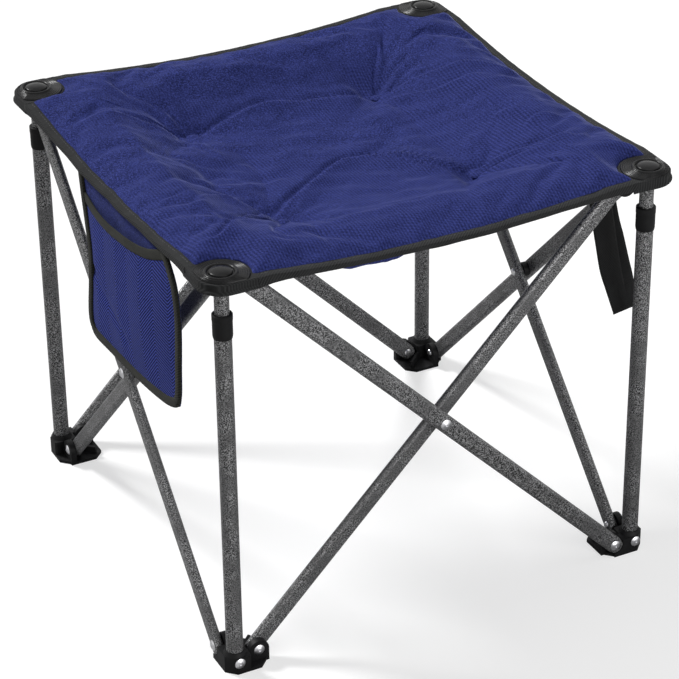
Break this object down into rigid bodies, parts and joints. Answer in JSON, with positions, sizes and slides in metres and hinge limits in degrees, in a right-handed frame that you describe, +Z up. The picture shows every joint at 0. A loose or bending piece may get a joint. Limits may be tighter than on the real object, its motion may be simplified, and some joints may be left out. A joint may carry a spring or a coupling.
{
  "type": "camp stool",
  "caption": "Folding square camp stool with a padded cloth seat, telescopic corner posts, crossed flat-oval side braces, plastic feet and caps, and a mesh side pocket.",
  "frame": {"origin": "on the floor, under the middle of the seat", "axes": "+Z up, +Y towards the rear, +X towards the right of someone facing the rear; the pocket hangs on the -X side"},
  "size_m": [0.562, 0.562, 0.5046],
  "materials": {
    "black_plastic": "moulded black nylon with a fine grain",
    "cap_plastic": "moulded black plastic, slightly glossier on its domed button",
    "zinc_rivet": "bright zinc plate",
    "hammered_paint": "dark grey powder coat with a fine hammered texture",
    "navy_cloth": "navy polyester with a diagonal weave",
    "navy_mesh": "navy knitted mesh",
    "binding_webbing": "black twill webbing",
    "strap_webbing": "black woven webbing"
  },
  "bodies": {
    "front_left_foot": {"front_left_foot": "black_plastic", "front_left_foot_rivets": "zinc_rivet", "front_left_lower_post": "hammered_paint", "front_left_post_collar": "black_plastic"},
    "front_inner": {"front_inner_bar": "hammered_paint", "front_crossing_rivet": "zinc_rivet", "front_crossing_spacer": "black_plastic"},
    "front_outer": {"front_outer_bar": "hammered_paint"},
    "right_inner": {"right_inner_bar": "hammered_paint", "right_crossing_rivet": "zinc_rivet", "right_crossing_spacer": "black_plastic"},
    "right_outer": {"right_outer_bar": "hammered_paint"},
    "rear_inner": {"rear_inner_bar": "hammered_paint"},
    "rear_outer": {"rear_outer_bar": "hammered_paint", "rear_crossing_rivet": "zinc_rivet", "rear_crossing_spacer": "black_plastic"},
    "left_inner": {"left_inner_bar": "hammered_paint"},
    "left_outer": {"left_outer_bar": "hammered_paint", "left_crossing_rivet": "zinc_rivet", "left_crossing_spacer": "black_plastic"},
    "front_right_foot": {"front_right_foot": "black_plastic", "front_right_foot_rivets": "zinc_rivet", "front_right_lower_post": "hammered_paint", "front_right_post_collar": "black_plastic"},
    "rear_right_foot": {"rear_right_foot": "black_plastic", "rear_right_foot_rivets": "zinc_rivet", "rear_right_lower_post": "hammered_paint", "rear_right_post_collar": "black_plastic"},
    "rear_left_foot": {"rear_left_foot": "black_plastic", "rear_left_foot_rivets": "zinc_rivet", "rear_left_lower_post": "hammered_paint", "rear_left_post_collar": "black_plastic"},
    "front_left_top": {"front_left_top_bracket": "black_plastic", "front_left_bracket_rivets": "zinc_rivet", "front_left_upper_post": "hammered_paint", "front_left_corner_patch": "binding_webbing", "front_left_corner_cap": "cap_plastic", "seat_pad": "navy_cloth", "tuft_buttons": "navy_cloth", "seat_hem": "binding_webbing", "pocket_panel": "navy_cloth", "pocket_mesh": "navy_mesh", "pocket_binding": "binding_webbing"},
    "front_right_top": {"front_right_top_bracket": "black_plastic", "front_right_bracket_rivets": "zinc_rivet", "front_right_upper_post": "hammered_paint", "front_right_corner_patch": "binding_webbing", "front_right_corner_cap": "cap_plastic", "carry_strap": "strap_webbing"},
    "rear_right_top": {"rear_right_top_bracket": "black_plastic", "rear_right_bracket_rivets": "zinc_rivet", "rear_right_upper_post": "hammered_paint", "rear_right_corner_patch": "binding_webbing", "rear_right_corner_cap": "cap_plastic"},
    "rear_left_top": {"rear_left_top_bracket": "black_plastic", "rear_left_bracket_rivets": "zinc_rivet", "rear_left_upper_post": "hammered_paint", "rear_left_corner_patch": "binding_webbing", "rear_left_corner_cap": "cap_plastic"}
  },
  "joints": [
    {"name": "fold", "type": "hinge", "parent": "front_left_foot", "child": "front_inner", "pos_m": [-0.227, -0.255, 0.0165], "axis": [0, -1, 0], "range_deg": [0, 40], "deforming": ["seat_pad", "tuft_buttons", "seat_hem", "pocket_panel", "pocket_mesh", "pocket_binding", "carry_strap"]},
    {"name": "front_crossing", "type": "hinge", "parent": "front_inner", "child": "front_outer", "pos_m": [0, -0.255, 0.24725], "axis": [0, -1, 0], "range_deg": [-80, 0]},
    {"name": "front_right_foot_pivot", "type": "hinge", "parent": "front_outer", "child": "front_right_foot", "pos_m": [0.227, -0.255, 0.0165], "axis": [0, -1, 0], "range_deg": [0, 40]},
    {"name": "front_left_top_pivot", "type": "hinge", "parent": "front_outer", "child": "front_left_top", "pos_m": [-0.227, -0.255, 0.478], "axis": [0, -1, 0], "range_deg": [0, 40]},
    {"name": "front_right_top_pivot", "type": "hinge", "parent": "front_inner", "child": "front_right_top", "pos_m": [0.227, -0.255, 0.478], "axis": [0, -1, 0], "range_deg": [-40, 0]},
    {"name": "left_foot_pivot", "type": "hinge", "parent": "front_left_foot", "child": "left_outer", "pos_m": [-0.255, -0.227, 0.0165], "axis": [-1, 0, 0], "range_deg": [-40, 0]},
    {"name": "left_crossing", "type": "hinge", "parent": "left_outer", "child": "left_inner", "pos_m": [-0.255, 0, 0.24725], "axis": [-1, 0, 0], "range_deg": [0, 80]},
    {"name": "rear_left_foot_pivot", "type": "hinge", "parent": "left_inner", "child": "rear_left_foot", "pos_m": [-0.255, 0.227, 0.0165], "axis": [-1, 0, 0], "range_deg": [-40, 0]},
    {"name": "rear_left_top_pivot", "type": "hinge", "parent": "left_outer", "child": "rear_left_top", "pos_m": [-0.255, 0.227, 0.478], "axis": [-1, 0, 0], "range_deg": [0, 40]},
    {"name": "right_foot_pivot", "type": "hinge", "parent": "front_right_foot", "child": "right_inner", "pos_m": [0.255, -0.227, 0.0165], "axis": [1, 0, 0], "range_deg": [0, 40]},
    {"name": "right_crossing", "type": "hinge", "parent": "right_inner", "child": "right_outer", "pos_m": [0.255, 0, 0.24725], "axis": [1, 0, 0], "range_deg": [-80, 0]},
    {"name": "rear_right_foot_pivot", "type": "hinge", "parent": "right_outer", "child": "rear_right_foot", "pos_m": [0.255, 0.227, 0.0165], "axis": [1, 0, 0], "range_deg": [0, 40]},
    {"name": "rear_right_top_pivot", "type": "hinge", "parent": "right_inner", "child": "rear_right_top", "pos_m": [0.255, 0.227, 0.478], "axis": [1, 0, 0], "range_deg": [-40, 0]},
    {"name": "rear_foot_pivot", "type": "hinge", "parent": "rear_left_foot", "child": "rear_outer", "pos_m": [-0.227, 0.255, 0.0165], "axis": [0, 1, 0], "range_deg": [-40, 0]},
    {"name": "rear_crossing", "type": "hinge", "parent": "rear_outer", "child": "rear_inner", "pos_m": [0, 0.255, 0.24725], "axis": [0, 1, 0], "range_deg": [0, 80]}
  ],
  "couplings": [
    {"joint": "front_crossing", "follows": "fold", "ratio": -2},
    {"joint": "front_right_foot_pivot", "follows": "fold", "ratio": 1},
    {"joint": "front_left_top_pivot", "follows": "fold", "ratio": 1},
    {"joint": "front_right_top_pivot", "follows": "fold", "ratio": -1},
    {"joint": "left_foot_pivot", "follows": "fold", "ratio": -1},
    {"joint": "left_crossing", "follows": "fold", "ratio": 2},
    {"joint": "rear_left_foot_pivot", "follows": "fold", "ratio": -1},
    {"joint": "rear_left_top_pivot", "follows": "fold", "ratio": 1},
    {"joint": "right_foot_pivot", "follows": "fold", "ratio": 1},
    {"joint": "right_crossing", "follows": "fold", "ratio": -2},
    {"joint": "rear_right_foot_pivot", "follows": "fold", "ratio": 1},
    {"joint": "rear_right_top_pivot", "follows": "fold", "ratio": -1},
    {"joint": "rear_foot_pivot", "follows": "fold", "ratio": -1},
    {"joint": "rear_crossing", "follows": "fold", "ratio": 2}
  ]
}
